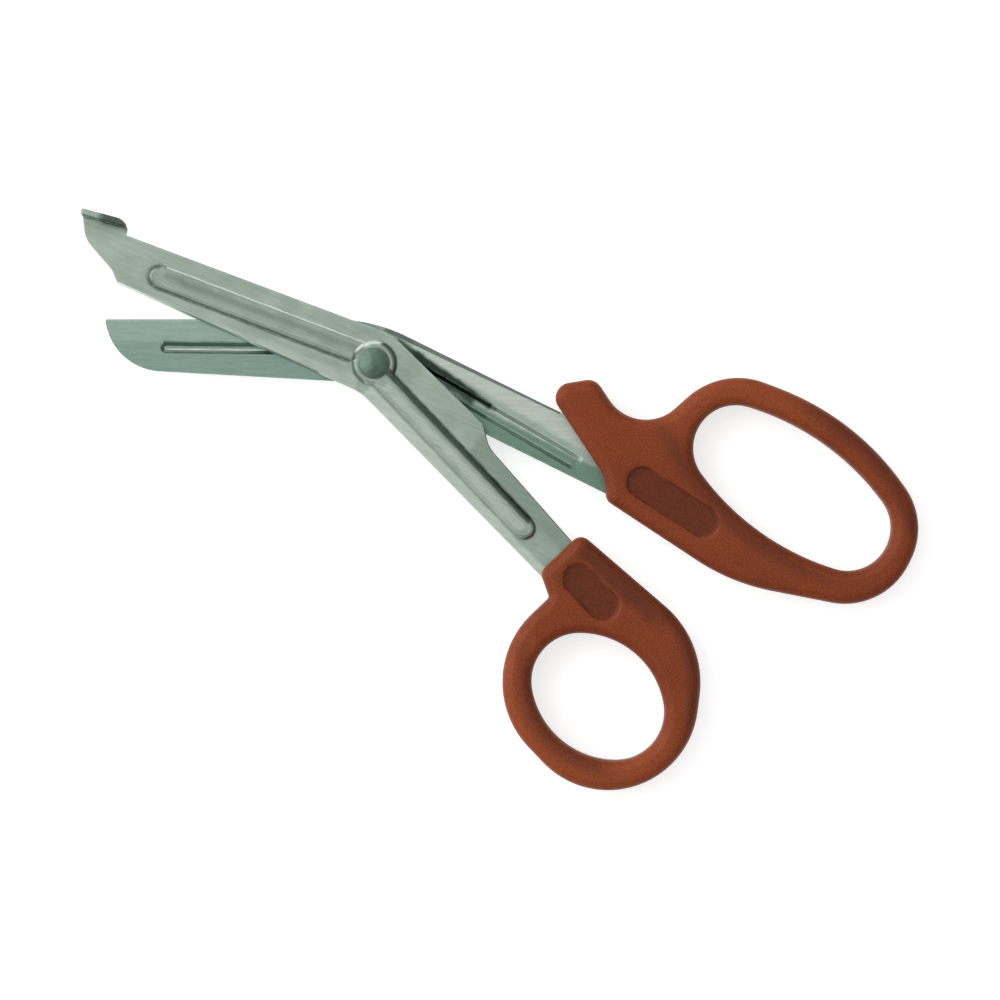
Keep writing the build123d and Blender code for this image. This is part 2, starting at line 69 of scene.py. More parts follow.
class Wiring:
    """Adds nodes to one node tree and links them, laid out from left to right."""

    column_step = 190
    row_step = -40
    rows = 3

    def __init__(self, tree: bpy.types.NodeTree) -> None:
        """Starts the layout of a tree.

        Args:
            tree: the tree of a material, a world or a group.
        """
        self.tree = tree
        self.column = 0

    def add(self, kind: str, **settings: object) -> bpy.types.Node:
        """Adds one node.

        Args:
            kind: the node's type name.
            settings: attributes of the node.

        Returns:
            The new node.
        """
        node = self.tree.nodes.new(kind)
        node.location = (self.column * self.column_step, self.column % self.rows * self.row_step)
        self.column += 1
        for name, value in settings.items():
            setattr(node, name, value)
        return node

    def feed(self, value: Value, socket: Socket) -> None:
        """Gives an input a plain value, or the output that drives it.

        Args:
            value: a number, a vector, a colour with its alpha or an output.
            socket: the input.
        """
        if isinstance(value, Socket):
            self.tree.links.new(value, socket)
        else:
            socket.default_value = value

    def fed(self, kind: str, inputs: dict[int | str, Value], **settings: object) -> bpy.types.Node:
        """Adds one node and feeds its inputs.

        Args:
            kind: the node's type name.
            inputs: the value or output for each input, by its number or name.
            settings: attributes of the node.

        Returns:
            The new node.
        """
        node = self.add(kind, **settings)
        for key, value in inputs.items():
            self.feed(value, node.inputs[key])
        return node

    def maths(self, operation: str, *values: Value) -> Socket:
        """One sum on numbers or outputs, in the order of the inputs."""
        return self.fed("ShaderNodeMath", dict(enumerate(values)), operation=operation).outputs[0]

    def times(self, first: Value, second: Value) -> Socket:
        """The product of two numbers or outputs."""
        return self.maths("MULTIPLY", first, second)

    def vector_maths(self, operation: str, *values: Value) -> Socket:
        """One sum on vectors, which gives a number where it measures, or else a vector."""
        node = self.fed("ShaderNodeVectorMath", dict(enumerate(values)), operation=operation)
        return node.outputs["Value" if operation in MEASURES else "Vector"]

    def scaled(self, vector: Value, factor: Value) -> Socket:
        """A vector times a number."""
        inputs = {0: vector, "Scale": factor}
        return self.fed("ShaderNodeVectorMath", inputs, operation="SCALE").outputs[0]

    def object_place(self) -> Socket:
        """The place in the object's own coordinates."""
        return self.add("ShaderNodeTexCoord").outputs["Object"]

    def surface_normal(self) -> Socket:
        """The direction that the surface faces, before any bump."""
        return self.add("ShaderNodeNewGeometry").outputs["Normal"]

    def upward_part(self, vector: Value) -> Socket:
        """How far a vector points up."""
        return self.fed("ShaderNodeSeparateXYZ", {0: vector}).outputs["Z"]

    def blend(self, share: Value, first: Value, second: Value, way: str = "MIX") -> Socket:
        """Mixes two colours.

        Args:
            share: the share of the second colour.
            first: the first colour.
            second: the second colour.
            way: how the second colour works on the first.

        Returns:
            The output with the mixed colour.
        """
        node = self.fed("ShaderNodeMix", {0: share}, data_type="RGBA", blend_type=way)
        inputs = [socket for socket in node.inputs if socket.type == "RGBA"]
        for colour, socket in zip((first, second), inputs):
            self.feed(opaque(colour) if isinstance(colour, tuple) else colour, socket)
        return next(socket for socket in node.outputs if socket.type == "RGBA")

    def darken(self, share: Value, colour: Value, shade: Colour) -> Socket:
        """Multiplies a colour by a shade where the share is 1, and leaves it where it is 0."""
        return self.blend(share, colour, shade, way="MULTIPLY")

    def ramp(self, value: Value, low: Value, high: Value) -> Socket:
        """A mask that runs smoothly from 0 at the low value to 1 at the high one."""
        inputs = {0: value, 1: low, 2: high}
        return self.fed("ShaderNodeMapRange", inputs, interpolation_type="SMOOTHSTEP").outputs[0]

    def noise(self, vector: Value, scale: Value, detail: float) -> Socket:
        """Noise between 0 and 1, with a scale in features per metre."""
        inputs = {"Vector": vector, "Scale": scale, "Detail": detail}
        return self.fed("ShaderNodeTexNoise", inputs).outputs[0]

    def uneven(self, middle: float, spread: float, share: Value) -> Socket:
        """A value that crosses a spread about its middle while a share goes from 0 to 1."""
        return self.maths("MULTIPLY_ADD", share, spread, middle - spread / 2)

    def bump(self, height: Value, distance: float, normal: Value | None = None) -> Socket:
        """Raises the surface by a map of heights.

        Args:
            height: the map.
            distance: the height that 1 stands for.
            normal: the normal to start from, or None for the surface's own.

        Returns:
            The output with the new normal.
        """
        inputs = {"Distance": distance, "Height": height}
        if normal is not None:
            inputs["Normal"] = normal
        return self.fed("ShaderNodeBump", inputs).outputs[0]


class SharedEffect:
    """A shader node group with named inputs and outputs, built once for all the finishes."""

    def __init__(self, name: str, inputs: dict[str, float | Point], outputs: list[str]) -> None:
        """Makes the group and its sockets.

        Args:
            name: the group's name.
            inputs: each input's name and its usual number or vector.
            outputs: the names of the values that it puts out.
        """
        self.tree = bpy.data.node_groups.new(name, "ShaderNodeTree")
        for label, usual in inputs.items():
            kind = "NodeSocketFloat" if isinstance(usual, float) else "NodeSocketVector"
            socket = self.tree.interface.new_socket(label, in_out="INPUT", socket_type=kind)
            socket.default_value = usual
        for label in outputs:
            self.tree.interface.new_socket(label, in_out="OUTPUT", socket_type="NodeSocketFloat")
        self.wiring = Wiring(self.tree)
        self.source = self.wiring.add("NodeGroupInput").outputs

    def close(self, **results: Value) -> None:
        """Joins the results to the outputs of the same names."""
        self.wiring.fed("NodeGroupOutput", results)

    def place(self, wiring: Wiring, **values: Value) -> bpy.types.Node:
        """Puts the group into a material, with values for the inputs of those names."""
        return wiring.fed("ShaderNodeGroup", values, node_tree=self.tree)


def build_tumbled_grain() -> SharedEffect:
    """Fine streaks and pits of a rumbled metal surface, with slow changes of tone.

    Returns:
        The effect, with Height, Tone and Pits between 0 and 1.
    """
    drawn_out = 0.93
    streak_share, grain_share = 0.45, 0.55
    grain_scale, cloud_scale, pit_scale = 1.9, 0.055, 0.8
    cloud_range, pit_range = (0.3, 0.7), (0.68, 0.8)
    effect = SharedEffect("tumbled_grain", {"Heading": (1.0, 0.0, 0.0), "Size": 0.0004},
                          ["Height", "Tone", "Pits"])
    wiring, along = effect.wiring, effect.source["Heading"]
    place = wiring.object_place()
    scale = wiring.maths("DIVIDE", 1.0, effect.source["Size"])
    lengthwise = wiring.vector_maths("DOT_PRODUCT", place, along)
    shift = wiring.scaled(along, wiring.times(lengthwise, -drawn_out))
    streaks = wiring.noise(wiring.vector_maths("ADD", place, shift), scale, 3.0)
    grains = wiring.noise(place, wiring.times(scale, grain_scale), 4.0)
    height = wiring.maths("ADD", wiring.times(streaks, streak_share),
                          wiring.times(grains, grain_share))
    clouds = wiring.noise(place, wiring.times(scale, cloud_scale), 3.0)
    specks = wiring.noise(place, wiring.times(scale, pit_scale), 2.0)
    effect.close(Height=height, Tone=wiring.ramp(clouds, *cloud_range),
                 Pits=wiring.ramp(specks, *pit_range))
    return effect


def build_edge_wear() -> SharedEffect:
    """Where use has rubbed the outer edges of a piece bright.

    Returns:
        The effect, with Wear between 0 and 1.
    """
    turn_range, break_range = (0.006, 0.09), (0.36, 0.6)
    effect = SharedEffect("edge_wear", {"Reach": 0.0003, "Breaks": 700.0}, ["Wear"])
    wiring = effect.wiring
    rounded = wiring.fed("ShaderNodeBevel", {"Radius": effect.source["Reach"]}, samples=6)
    turned = wiring.vector_maths("DOT_PRODUCT", rounded.outputs[0], wiring.surface_normal())
    edges = wiring.ramp(wiring.maths("SUBTRACT", 1.0, turned), *turn_range)
    breaks = wiring.noise(wiring.object_place(), effect.source["Breaks"], 3.0)
    effect.close(Wear=wiring.times(edges, wiring.ramp(breaks, *break_range)))
    return effect


def build_plan_patch() -> SharedEffect:
    """A straight patch of the plan with soft edges, for ground lands and changes of tone.

    Returns:
        The effect, with Patch between 0 and 1.
    """
    waver_scale = 330.0
    effect = SharedEffect(
        "plan_patch",
        {"Start": NOWHERE, "Along": (1.0, 0.0, 0.0), "Across": (0.0, 1.0, 0.0),
         "Length": 0.05, "Width": 0.001, "Softness": 0.0002},
        ["Patch"],
    )
    wiring = effect.wiring
    place = wiring.object_place()
    away = wiring.vector_maths("SUBTRACT", place, effect.source["Start"])
    softness = effect.source["Softness"]
    half_in, half_out = wiring.times(softness, -0.5), wiring.times(softness, 0.5)
    waver = wiring.maths("SUBTRACT", wiring.noise(place, waver_scale, 2.0), 0.5)
    waver = wiring.times(waver, softness)
    bands = []
    for way, size in (("Along", "Length"), ("Across", "Width")):
        run = wiring.vector_maths("DOT_PRODUCT", away, effect.source[way])
        run = wiring.maths("ADD", run, waver)
        entered = wiring.ramp(run, half_in, half_out)
        left = wiring.ramp(wiring.maths("SUBTRACT", effect.source[size], run), half_in, half_out)
        bands.append(wiring.times(entered, left))
    effect.close(Patch=wiring.times(*bands))
    return effect


def build_rib_floor() -> SharedEffect:
    """The long round-ended floor of a pressed rib and the crease round it, seen from above.

    Returns:
        The effect, with Floor and Crease between 0 and 1.
    """
    floor_fade = (-0.2 * MM, 0.5 * MM)
    crease_width = 0.4 * MM
    effect = SharedEffect(
        "rib_floor",
        {"Start": NOWHERE, "End": (0.01, 0.0, 0.0), "Radius": 0.0015, "Foot": 0.0025},
        ["Floor", "Crease"],
    )
    wiring = effect.wiring
    place = wiring.object_place()
    spine = wiring.vector_maths("SUBTRACT", effect.source["End"], effect.source["Start"])
    away = wiring.vector_maths("SUBTRACT", place, effect.source["Start"])
    away = wiring.vector_maths("MULTIPLY", away, IN_PLAN)
    done = wiring.vector_maths("DOT_PRODUCT", away, spine)
    share = wiring.maths("DIVIDE", done, wiring.vector_maths("DOT_PRODUCT", spine, spine))
    share = wiring.maths("MINIMUM", wiring.maths("MAXIMUM", share, 0.0), 1.0)
    miss = wiring.vector_maths("DISTANCE", away, wiring.scaled(spine, share))
    floor = wiring.ramp(wiring.maths("SUBTRACT", effect.source["Radius"], miss), *floor_fade)
    beside = wiring.maths("ABSOLUTE", wiring.maths("SUBTRACT", miss, effect.source["Foot"]))
    effect.close(Floor=floor, Crease=wiring.ramp(beside, crease_width, 0.0))
    return effect


def build_ring_band() -> SharedEffect:
    """A soft ring round an upright axis, for rub marks, painted light and shade, and turned lines.

    Returns:
        The effect, with Ring between 0 and 1 and Distance in metres.
    """
    effect = SharedEffect("ring_band", {"Middle": NOWHERE, "Radius": 0.004, "Width": 0.0005},
                          ["Ring", "Distance"])
    wiring = effect.wiring
    away = wiring.vector_maths("SUBTRACT", wiring.object_place(), effect.source["Middle"])
    distance = wiring.vector_maths("LENGTH", wiring.vector_maths("MULTIPLY", away, IN_PLAN))
    miss = wiring.maths("ABSOLUTE", wiring.maths("SUBTRACT", distance, effect.source["Radius"]))
    effect.close(Ring=wiring.ramp(miss, effect.source["Width"], 0.0), Distance=distance)
    return effect


@dataclass(frozen=True)
class Effects:
    """The shared effects that the finishes place in their materials, each built once."""

    grain: SharedEffect = field(default_factory=build_tumbled_grain)
    wear: SharedEffect = field(default_factory=build_edge_wear)
    patch: SharedEffect = field(default_factory=build_plan_patch)
    floor: SharedEffect = field(default_factory=build_rib_floor)
    ring: SharedEffect = field(default_factory=build_ring_band)


def start_material(name: str) -> tuple[bpy.types.Material, Wiring, bpy.types.Node]:
    """A node material with its shader and output.

    Args:
        name: the material's name.

    Returns:
        The material, its wiring and its Principled shader.
    """
    first_column = -18
    material = bpy.data.materials.new(name)
    material.use_nodes = True
    material.node_tree.nodes.clear()
    wiring = Wiring(material.node_tree)
    shader = wiring.add("ShaderNodeBsdfPrincipled")
    wiring.column = first_column
    output = wiring.add("ShaderNodeOutputMaterial")
    output.location = (300, 0)
    wiring.feed(shader.outputs[0], output.inputs[0])
    return material, wiring, shader


@dataclass(frozen=True)
class Patch:
    """A straight patch of the plan with a tone of its own."""

    start: Vector
    angle: float
    length: float
    width: float
    side: Side
    softness: float
    tone: Colour
    strength: float

    def place(self, wiring: Wiring, effects: Effects) -> Socket:
        """Puts the patch into a material.

        Args:
            wiring: the material's wiring.
            effects: the shared effects.

        Returns:
            The mask, already weakened to the patch's strength.
        """
        node = effects.patch.place(
            wiring, Start=self.start, Along=heading(self.angle),
            Across=heading(self.angle + 90) * self.side.value,
            Length=self.length, Width=self.width, Softness=self.softness)
        return wiring.times(node.outputs["Patch"], self.strength)


@dataclass(frozen=True)
class Axis:
    """A straight line in the plan, seen along its heading, that passes a point at an offset."""

    pivot: Point
    angle: float
    left: float = 0.0
    start: Point = NOWHERE

    def at(self, left: float, distance: float) -> Vector:
        """The place at an offset to the line's left and a distance past its start."""
        beside = heading(self.angle + 90) * (self.left + left)
        return Vector(self.pivot) + Vector(self.start) + heading(self.angle) * distance + beside

    def strip(self, *, length: float, width: float, side: Side, softness: float, tone: Colour,
              strength: float, left: float = 0.0, distance: float = 0.0,
              turn: float = 0.0) -> Patch:
        """A patch that starts beside the line and runs along it.

        Args:
            length: how far it runs.
            width: how wide it is.
            side: the side of its start that it covers.
            softness: how softly it ends.
            tone: its tone.
            strength: its share at the full.
            left: how far to the line's left it starts.
            distance: how far past the line's start it starts.
            turn: how far it turns off the line, in degrees.

        Returns:
            The patch.
        """
        return Patch(self.at(left, distance), self.angle + turn, length, width, side, softness,
                     tone, strength)


@dataclass(frozen=True)
class Arc:
    """A part of a ring in the plan with a tone of its own."""

    middle: Vector
    radius: float
    width: float
    limit: Patch
    tone: Colour
    strength: float

    def place(self, wiring: Wiring, effects: Effects) -> Socket:
        """Puts the arc into a material.

        Args:
            wiring: the material's wiring.
            effects: the shared effects.

        Returns:
            The mask, already weakened to the arc's strength.
        """
        ring = effects.ring.place(wiring, Middle=self.middle, Radius=self.radius, Width=self.width)
        part = wiring.times(ring.outputs["Ring"], self.limit.place(wiring, effects))
        return wiring.times(part, self.strength)


Mark = Patch | Arc


def part_ring(middle: Vector, radius: float, width: float, angle: float, reach: tuple[float, float],
              tone: Colour, strength: float, softness: float = 0.8 * MM) -> Arc:
    """A ring in the plan, kept only between two distances along a heading.

    Args:
        middle: the ring's middle.
        radius: its radius.
        width: how far it fades to each side.
        angle: the heading.
        reach: the nearest and farthest distance from the middle along the heading.
        tone: its tone.
        strength: its share at the full.
        softness: how softly it ends.

    Returns:
        The arc.
    """
    limit = Axis(tuple(middle), angle).strip(
        left=-radius - width, distance=reach[0], length=reach[1] - reach[0],
        width=2 * (radius + width), side=Side.LEFT, softness=softness, tone=tone, strength=1.0)
    return Arc(middle, radius, width, limit, tone, strength)


@dataclass(frozen=True)
class Rib:
    """One pressed rib in the plan, from the pivot outwards."""

    start: Vector
    end: Vector
    floor_radius: float
    foot_radius: float


@dataclass(frozen=True)
class PressedSteel:
    """Satin sheet steel of one member: rumbled grain, ground land, worn edges, and painted light
    and shade on the ribs, creases and walls.
    """

    name: str
    pivot: Point
    tone: Colour
    deep_tone: Colour
    bright_tone: Colour
    roughness: float
    streak_angle: float
    land: Patch
    zones: tuple[Patch, ...]
    ribs: tuple[Rib, ...]
    lines: tuple[Mark, ...]
    cloud_share: float = 0.55
    rub_radius: float = 7.4 * MM
    rub_width: float = 1.6 * MM
    rub_share: float = 0.18
    grain_size: float = 0.34 * MM
    grain_depth: float = 0.012 * MM
    grain_share: float = 0.42
    grain_shade: Colour = (0.62, 0.69, 0.65)
    pit_share: float = 0.5
    floor_share: float = 0.42
    crease_shade_share: float = 0.22
    crease_shade_tone: Colour = (0.06, 0.09, 0.07)
    wear_share: float = 0.6
    unevenness: float = 0.16
    polish: float = 0.12
    hollow_range: tuple[float, float] = (0.56, 0.44)
    upper_facing: tuple[float, float] = (-0.6, -0.2)

    def pressed(self, wiring: Wiring, effects: Effects, tone: Socket) -> Socket:
        """Lays the zones, the ribs and the fine lines of the upper face over a tone, with painted
        light and shade among the zones and lines and painted shade in the creases.

        Args:
            wiring: the material's wiring.
            effects: the shared effects.
            tone: the tone below them.

        Returns:
            The output with the colour.
        """
        for zone in self.zones:
            tone = wiring.blend(zone.place(wiring, effects), tone, zone.tone)
        for rib in self.ribs:
            form = effects.floor.place(wiring, Start=rib.start, End=rib.end,
                                       Radius=rib.floor_radius, Foot=rib.foot_radius)
            # Each rib's floor is painted darker, and the crease at its foot gets painted shade.
            floor = wiring.times(form.outputs["Floor"], self.floor_share)
            tone = wiring.blend(floor, tone, self.deep_tone)
            crease = wiring.times(form.outputs["Crease"], self.crease_shade_share)
            tone = wiring.blend(crease, tone, self.crease_shade_tone)
        upper = wiring.ramp(wiring.upward_part(wiring.surface_normal()), *self.upper_facing)
        # The lines are painted light and shade, kept to the upward faces.
        for line in self.lines:
            shown = wiring.times(line.place(wiring, effects), upper)
            tone = wiring.blend(shown, tone, line.tone)
        return tone

    def coloured(self, wiring: Wiring, effects: Effects, grain: bpy.types.Node) -> Socket:
        """Lays the steel's tones over each other: clouds, pressing with its painted light and
        shade, rub mark and grain.

        Args:
            wiring: the material's wiring.
            effects: the shared effects.
            grain: the grain that the material already has.

        Returns:
            The colour before wear.
        """
        clouds = wiring.times(grain.outputs["Tone"], self.cloud_share)
        tone = self.pressed(wiring, effects, wiring.blend(clouds, self.tone, self.deep_tone))
        tone_mark = effects.ring.place(wiring, Middle=self.pivot, Radius=self.rub_radius,
                                 Width=self.rub_width)
        tone = wiring.blend(wiring.times(tone_mark.outputs["Ring"], self.rub_share), tone, self.deep_tone)
        hollows = wiring.ramp(grain.outputs["Height"], *self.hollow_range)
        tone = wiring.darken(wiring.times(hollows, self.grain_share), tone, self.grain_shade)
        pits = wiring.times(grain.outputs["Pits"], self.pit_share)
        return wiring.darken(pits, tone, self.grain_shade)

    def material(self, effects: Effects) -> bpy.types.Material:
        """Makes the finish.

        Args:
            effects: the shared effects.

        Returns:
            The new material.
        """
        material, wiring, shader = start_material(self.name)
        grain = effects.grain.place(wiring, Heading=heading(self.streak_angle),
                                    Size=self.grain_size)
        tone = self.coloured(wiring, effects, grain)
        worn = wiring.times(effects.wear.place(wiring).outputs["Wear"], self.wear_share)
        bright = wiring.maths("MAXIMUM", worn, self.land.place(wiring, effects))
        wiring.feed(wiring.blend(bright, tone, self.bright_tone), shader.inputs["Base Color"])
        shader.inputs["Metallic"].default_value = 1.0
        matt = wiring.uneven(self.roughness, self.unevenness, grain.outputs["Height"])
        wiring.feed(wiring.maths("SUBTRACT", matt, wiring.times(bright, self.polish)),
                    shader.inputs["Roughness"])
        wiring.feed(wiring.bump(grain.outputs["Height"], self.grain_depth), shader.inputs["Normal"])
        return material


@dataclass(frozen=True)
class PeenedSteel:
    """Rivet and washer steel: turned lines, hammer marks and painted shade round the rim."""

    name: str
    pivot: Point
    tone: Colour
    deep_tone: Colour
    roughness: float
    rim_radius: float
    mark_depth: float
    mark_scale: float = 850.0
    mark_softness: float = 0.6
    grain_size: float = 0.22 * MM
    rim_width: float = 0.75 * MM
    rim_shade_share: float = 0.75
    line_pitch: float = 0.28 * MM
    line_depth: float = 0.006 * MM
    unevenness: float = 0.18

    def material(self, effects: Effects) -> bpy.types.Material:
        """Makes the finish.

        Args:
            effects: the shared effects.

        Returns:
            The new material.
        """
        material, wiring, shader = start_material(self.name)
        grain = effects.grain.place(wiring, Size=self.grain_size)
        rim = effects.ring.place(wiring, Middle=self.pivot, Radius=self.rim_radius,
                                 Width=self.rim_width)
        turns = wiring.times(rim.outputs["Distance"], math.tau / self.line_pitch)
        lines = wiring.times(wiring.maths("SINE", turns), 0.5)
        pattern = {"Vector": wiring.object_place(), "Scale": self.mark_scale,
                   "Smoothness": self.mark_softness}
        dents = wiring.fed("ShaderNodeTexVoronoi", pattern, feature="SMOOTH_F1")
        tone = wiring.blend(grain.outputs["Tone"], self.tone, self.deep_tone)
        # Painted shade in a ring round the rim of the piece.
        rim_shade = wiring.times(rim.outputs["Ring"], self.rim_shade_share)
        wiring.feed(wiring.blend(rim_shade, tone, self.deep_tone), shader.inputs["Base Color"])
        shader.inputs["Metallic"].default_value = 1.0
        wiring.feed(wiring.uneven(self.roughness, self.unevenness, grain.outputs["Height"]),
                    shader.inputs["Roughness"])
        marked = wiring.bump(dents.outputs["Distance"], self.mark_depth)
        fine = wiring.maths("ADD", lines, grain.outputs["Height"])
        wiring.feed(wiring.bump(fine, self.line_depth, marked), shader.inputs["Normal"])
        return material


@dataclass(frozen=True)
class MouldedPlastic:
    """Matt brown handle moulding: fine skin, parting line, darker pockets, polished edges and
    patches of painted light and shade.
    """

    name: str
    tone: Colour
    deep_tone: Colour
    worn_tone: Colour
    roughness: float
    parting_height: float
    pocket_height: float
    tone_patches: tuple[Mark, ...]
    pocket_slack: float = 0.1 * MM
    pocket_share: float = 0.8
    flat_facing: float = 0.97
    upright_facing: float = 0.5
    parting_width: float = 0.11 * MM
    parting_rise: float = 0.05 * MM
    skin_size: float = 0.4 * MM
    skin_depth: float = 0.02 * MM
    skin_share: float = 0.55
    skin_shade: Colour = (0.5, 0.5, 0.55)
    edge_radius: float = 1.7 * MM
    cloud_scale: float = 90.0
    cloud_share: float = 0.22
    wear_reach: float = 1.1 * MM
    wear_breaks: float = 260.0
    wear_share: float = 0.35
    unevenness: float = 0.14
    polish: float = 0.3
    specular: float = 0.22
    cloud_range: tuple[float, float] = (0.3, 0.7)
    hollow_range: tuple[float, float] = (0.56, 0.42)

    def coloured(self, wiring: Wiring, effects: Effects, pocket: Socket, skin: Socket) -> Socket:
        """Lays the plastic's tones over each other: clouds, painted light and shade, pockets and
        skin.

        Args:
            wiring: the material's wiring.
            effects: the shared effects.
            pocket: 1 on the floors of the pockets.
            skin: the noise of the skin.

        Returns:
            The colour before wear.
        """
        clouds = wiring.noise(wiring.object_place(), self.cloud_scale, 4.0)
        clouds = wiring.ramp(clouds, *self.cloud_range)
        tone = wiring.blend(wiring.times(clouds, self.cloud_share), self.tone, self.deep_tone)
        # The grip's patches and arcs paint light and shade on the handles.
        for tone_mark in self.tone_patches:
            tone = wiring.blend(tone_mark.place(wiring, effects), tone, tone_mark.tone)
        tone = wiring.blend(wiring.times(pocket, self.pocket_share), tone, self.deep_tone)
        hollows = wiring.ramp(skin, *self.hollow_range)
        return wiring.darken(wiring.times(hollows, self.skin_share), tone, self.skin_shade)

    def raised(self, wiring: Wiring, skin: Socket, seam: Socket) -> Socket:
        """Softens the edges and raises the skin and the parting line.

        Args:
            wiring: the material's wiring.
            skin: the noise of the skin.
            seam: 1 on the parting line.

        Returns:
            The output with the normal.
        """
        softened = wiring.fed("ShaderNodeBevel", {"Radius": self.edge_radius}, samples=8)
        grained = wiring.bump(skin, self.skin_depth, softened.outputs[0])
        return wiring.bump(seam, self.parting_rise, grained)

    def material(self, effects: Effects) -> bpy.types.Material:
        """Makes the finish.

        Args:
            effects: the shared effects.

        Returns:
            The new material.
        """
        material, wiring, shader = start_material(self.name)
        place = wiring.object_place()
        facing = wiring.maths("ABSOLUTE", wiring.upward_part(wiring.surface_normal()))
        height = wiring.maths("SUBTRACT", wiring.upward_part(place), self.parting_height)
        from_middle = wiring.maths("ABSOLUTE", height)
        sunk = wiring.maths("LESS_THAN", from_middle,
                            self.pocket_height - self.parting_height + self.pocket_slack)
        pocket = wiring.times(wiring.maths("GREATER_THAN", facing, self.flat_facing), sunk)
        seam = wiring.times(wiring.ramp(from_middle, self.parting_width, 0.0),
                            wiring.maths("LESS_THAN", facing, self.upright_facing))
        skin = wiring.noise(place, 1.0 / self.skin_size, 3.0)
        tone = self.coloured(wiring, effects, pocket, skin)
        wear = effects.wear.place(wiring, Reach=self.wear_reach, Breaks=self.wear_breaks)
        worn = wiring.times(wear.outputs["Wear"], self.wear_share)
        wiring.feed(wiring.blend(worn, tone, self.worn_tone), shader.inputs["Base Color"])
        matt = wiring.uneven(self.roughness, self.unevenness, skin)
        wiring.feed(wiring.maths("SUBTRACT", matt, wiring.times(worn, self.polish)),
                    shader.inputs["Roughness"])
        shader.inputs["Specular IOR Level"].default_value = self.specular
        wiring.feed(self.raised(wiring, skin, seam), shader.inputs["Normal"])
        return material


def dress(node: str, material: bpy.types.Material) -> None:
    """Gives every material slot of a node of the frame the same finish.

    Args:
        node: the node's name.
        material: the finish.
    """
    piece = frame["nodes"][node]
    if not piece.material_slots:
        piece.data.materials.append(material)
    for slot in piece.material_slots:
        slot.material = material
    log.info("%s wears %s", node, material.name)


